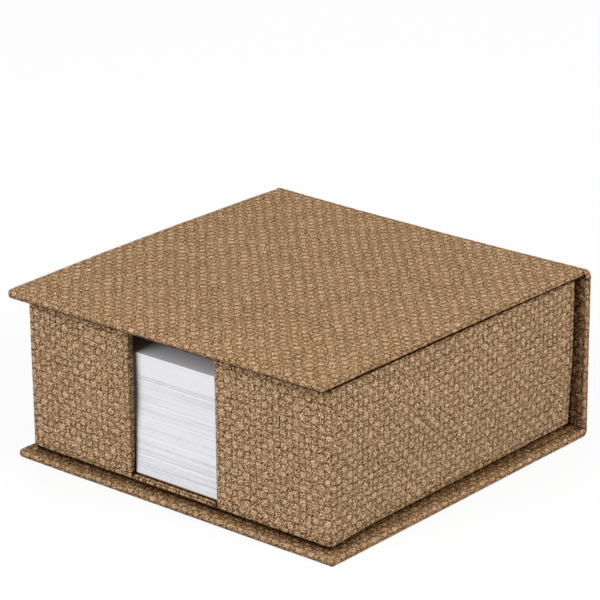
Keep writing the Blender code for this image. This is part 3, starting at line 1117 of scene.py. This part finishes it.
def make_lid_lining(finish):
    low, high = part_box("lid_lining")
    under_lid = lid_low.z - PAPER
    turned_up = high.z - wrap
    path = [(low.y, under_lid), (high.y, under_lid), (high.y, turned_up)]
    shape = make_strip(path, high.x, Vector((0, 0, -1)))
    bow_with_lid(shape)
    finish_piece(shape, "lid_lining_sheet", finish, "lid", ["lid_lining"])


def make_floor_lining(finish):
    low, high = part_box("tray_floor_lining")
    reach = Vector((LINING_REACH, LINING_REACH, 0.0))
    shape = box_shape(low - reach, high + reach)
    finish_piece(
        shape, "floor_lining_sheet", finish, "box", ["tray_floor_lining"]
    )


lining_paper = make_plain_paper(
    "lining paper",
    dark=(0.15, 0.085, 0.042),
    light=(0.42, 0.27, 0.16),
    depth=0.00003,
    mat_share=0.4,
)
make_spine_lining()
make_lid_lining(lining_paper)
make_floor_lining(lining_paper)

# %% [markdown]
# The note sheets are loose, about a tenth of a millimetre thick, and never quite in line. Each is
# its own thin box with a small seeded shift, so the edge of the stack catches light as real paper
# does. The foot of the stack has slid forward a little. The topmost wad is fresh and straighter
# than the rest, and three single sheets sit back and leave thin dark lines. Colour does the rest:
# a noise stretched flat tells one sheet from the next, more in the older wads, and the top sheet
# gets painted shade near the walls that close it in.

# %% The note sheets
SHEET_PITCH = 0.000103
SHEET_THICKNESS = 0.000098
SHEAF_SCATTER = (0.00007, 0.00006, 0.00004, 0.000035, 0.000008)
SHEAF_SHIFT_SHARE = 0.3
SHEAF_GAP = 0.0001
STACK_LEAN = 0.0013
STACK_LEAN_HEIGHT = 0.02
# For a sheaf, which of its sheets sit back, and how far.
SET_BACK_SHEETS = {4: {0: 0.00012}, 5: {8: 0.0003, 14: 0.00022}}
NOTE_ROUGHNESS = 0.78
NOTE_GLOSS = 0.3
NOTE_TONE = 0.8
SHEETS_IN_A_METRE = (30.0, 30.0, 1900.0)
CLOUDS_IN_A_METRE = 900.0
CLOUD_SHARE = 0.15
CLOUD_DEPTH = 0.00001
LOOKING_UP = (0.3, 0.7)
NOTE_SHADE_REACH = 0.009
NOTE_SHADE = 0.6


def make_sheaf(number, scatter, finish):
    low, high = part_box(f"note_sheaf_{number}")
    high.z += SHEAF_GAP if number < len(SHEAF_SCATTER) else 0.0
    count = round((high.z - low.z) / SHEET_PITCH)
    pitch = (high.z - low.z) / count
    middle = (low + high) / 2 * SHEAF_SHIFT_SHARE
    middle.y += tray_middle_y * (1 - SHEAF_SHIFT_SHARE)
    set_back = SET_BACK_SHEETS.get(number, {})
    chance = random.Random(number)
    shape = bmesh.new()
    for step in range(count):
        shift_x, shift_y = chance.gauss(0, scatter), chance.gauss(0, scatter)
        above_floor = low.z + pitch * step - sill_top
        shift_y += set_back.get(step, 0.0) - STACK_LEAN * max(0.0, 1 - above_floor / STACK_LEAN_HEIGHT)
        place = Vector((middle.x + shift_x, middle.y + shift_y, low.z + pitch * (step + 0.5)))
        size = (high.x - low.x, high.y - low.y, SHEET_THICKNESS)
        bmesh.ops.create_cube(shape, size=1.0, matrix=Matrix.LocRotScale(place, None, size))
    print("sheaf", number, "holds", count, "sheets")
    name, solid = f"note_sheets_{number}", f"note_sheaf_{number}"
    finish_piece(shape, name, finish, "notes", [solid])


def make_note_paper(name, sheet_contrast):
    finish, tree, shader = new_finish(name, NOTE_ROUGHNESS)
    shader.inputs["Specular IOR Level"].default_value = NOTE_GLOSS
    place = tree.nodes.new("ShaderNodeTexCoord").outputs["Object"]
    sheets = calculate_vector(tree, "MULTIPLY", place, SHEETS_IN_A_METRE)
    sheets = noise_at(tree, sheets, 1.0, detail=2.0, roughness=0.7).outputs[0]
    cloud = noise_at(tree, place, CLOUDS_IN_A_METRE, detail=3.0, roughness=0.6).outputs[0]
    up = tree.nodes.new("ShaderNodeSeparateXYZ")
    feed(tree, up.inputs[0], tree.nodes.new("ShaderNodeNewGeometry").outputs["True Normal"])
    looking_up = remap(tree, up.outputs[2], *LOOKING_UP)
    # Painted shade on the top sheet near the walls that close it in.
    shade = calculate(tree, "MULTIPLY", corner_shade(tree, NOTE_SHADE_REACH), looking_up)
    tone = add_share(tree, NOTE_TONE, sheets, NOISE_MIDDLE, sheet_contrast / 2)
    tone = add_share(tree, tone, cloud, NOISE_MIDDLE, CLOUD_SHARE)
    tone = add_share(tree, tone, shade, 0.0, -NOTE_SHADE)
    stops = (
        (0.0, (0.02, 0.018, 0.022)),
        (0.5, (0.60, 0.605, 0.64)),
        (0.8, (0.835, 0.835, 0.87)),
        (1.0, (0.90, 0.90, 0.925)),
    )
    feed(tree, shader.inputs["Base Color"], ramp_colour(tree, tone, stops))
    feed(tree, shader.inputs["Normal"], bump_normal(tree, cloud, CLOUD_DEPTH))
    return finish


note_paper = make_note_paper("note paper", sheet_contrast=1.3)
fresh_note_paper = make_note_paper("fresh note paper", sheet_contrast=0.15)
for number, scatter in enumerate(SHEAF_SCATTER, start=1):
    is_fresh = number == len(SHEAF_SCATTER)
    make_sheaf(number, scatter, fresh_note_paper if is_fresh else note_paper)

# %% [markdown]
# The picture was taken with a long lens from the right and a little above. The view is described
# as a photographer would: where the camera points, from which side and height, how far away, and
# how much it is tilted. The focal length in pixels turns into millimetres through the sensor.

# %% Camera
PICTURE_PIXELS = 600
FOCAL_PIXELS = 3003.5
SENSOR = 36.0
VIEW_SIDE = math.radians(40.58)
VIEW_HEIGHT = math.radians(20.31)
VIEW_TILT = math.radians(-0.53)
VIEW_DISTANCE = 0.7525
LOOK_AT = Vector((-0.00106, 0.00097, 0.03954))
NEAREST_SEEN = 0.01
FARTHEST_SEEN = 20.0


def towards(side, height):
    """The direction to something seen that far round from the front, and that high."""
    return Vector(
        (math.sin(side) * math.cos(height), -math.cos(side) * math.cos(height), math.sin(height))
    )


backwards = towards(VIEW_SIDE, VIEW_HEIGHT)
level = Vector((math.cos(VIEW_SIDE), math.sin(VIEW_SIDE), 0.0))
upwards = backwards.cross(level)
across = math.cos(VIEW_TILT) * level + math.sin(VIEW_TILT) * upwards
upwards = math.cos(VIEW_TILT) * upwards - math.sin(VIEW_TILT) * level
lens = bpy.data.cameras.new("camera")
lens.sensor_width = SENSOR
lens.lens = FOCAL_PIXELS / PICTURE_PIXELS * SENSOR
lens.clip_start = NEAREST_SEEN
lens.clip_end = FARTHEST_SEEN
camera = bpy.data.objects.new("camera", lens)
bpy.context.scene.collection.objects.link(camera)
turned = Matrix((across, upwards, backwards)).transposed()
camera.matrix_world = Matrix.Translation(LOOK_AT + backwards * VIEW_DISTANCE) @ turned.to_4x4()
bpy.context.scene.camera = camera
print("lens", round(lens.lens, 1), "mm")

# %% [markdown]
# The picture is lit by soft lamps at about thirty degrees. The largest stands a little left of the
# front, so the left side of the window throws a narrow shade on the paper. One stands square to the
# right side, at the height that lights the lid and both walls alike. A weak one behind keeps the
# back from going dull, and a faint sky fills the rest. The floor is pale paper, and it is shown to
# the camera as nearly white, so that only the box's own shadow darkens it.

# %% Light and floor
SKY_STRENGTH = 0.2
FLOOR_SIZE = 4.0
FLOOR_GREY = 0.12
FLOOR_SHOWN_GREY = 0.9
FLOOR_SHOWN_WHITE = 0.88
FLOOR_ROUGHNESS = 0.9
LAMP_DISTANCE = 1.2
# Each lamp's side and height in degrees, its size in metres and its power in watts.
LAMPS = {
    "front lamp": (-9.0, 29.0, 0.8, 13.6),
    "right lamp": (93.0, 34.0, 0.6, 12.6),
    "back lamp": (-140.0, 35.0, 0.5, 3.0),
}


def add_lamp(name, side, height, size, power):
    light = bpy.data.lights.new(name, "AREA")
    light.shape = "SQUARE"
    light.size = size
    light.energy = power
    lamp = bpy.data.objects.new(name, light)
    bpy.context.scene.collection.objects.link(lamp)
    direction = towards(math.radians(side), math.radians(height))
    lamp.location = direction * LAMP_DISTANCE
    lamp.rotation_euler = (-direction).to_track_quat("-Z", "Y").to_euler()


for name, (side, height, size, power) in LAMPS.items():
    add_lamp(name, side, height, size, power)


def seen_directly(tree):
    """One where the camera looks straight at it, or sees it in a gloss or through glass."""
    path = tree.nodes.new("ShaderNodeLightPath")
    seen = calculate(tree, "MAXIMUM", path.outputs["Is Camera Ray"], path.outputs["Is Glossy Ray"])
    return calculate(tree, "MAXIMUM", seen, path.outputs["Is Transmission Ray"])


sky = bpy.data.worlds.new("sky")
sky.use_nodes = True
bpy.context.scene.world = sky
background = sky.node_tree.nodes["Background"]
background.inputs["Color"].default_value = (1.0, 1.0, 1.0, 1.0)
strength = calculate(
    sky.node_tree, "MULTIPLY_ADD", seen_directly(sky.node_tree), 1.0 - SKY_STRENGTH, SKY_STRENGTH
)
feed(sky.node_tree, background.inputs["Strength"], strength)

shape = bmesh.new()
bmesh.ops.create_grid(shape, x_segments=1, y_segments=1, size=FLOOR_SIZE / 2)
floor_mesh = bpy.data.meshes.new("floor")
shape.to_mesh(floor_mesh)
shape.free()
floor = bpy.data.objects.new("floor", floor_mesh)
bpy.context.scene.collection.objects.link(floor)
floor_finish, tree, shader = new_finish("floor paper", FLOOR_ROUGHNESS)
seen = seen_directly(tree)
floor_tone = calculate(tree, "MULTIPLY_ADD", seen, FLOOR_SHOWN_GREY - FLOOR_GREY, FLOOR_GREY)
feed(tree, shader.inputs["Base Color"], floor_tone)
shown = tree.nodes.new("ShaderNodeEmission")
mixed = tree.nodes.new("ShaderNodeMixShader")
feed(tree, mixed.inputs[0], calculate(tree, "MULTIPLY", seen, FLOOR_SHOWN_WHITE))
feed(tree, mixed.inputs[1], shader.outputs[0])
feed(tree, mixed.inputs[2], shown.outputs[0])
feed(tree, tree.nodes["Material Output"].inputs["Surface"], mixed.outputs[0])
floor.data.materials.append(floor_finish)
print("floor", FLOOR_SIZE, "m square")

# %% [markdown]
# The last step sets the plain view transform.

# %% The view transform
bpy.context.scene.view_settings.view_transform = "Standard"
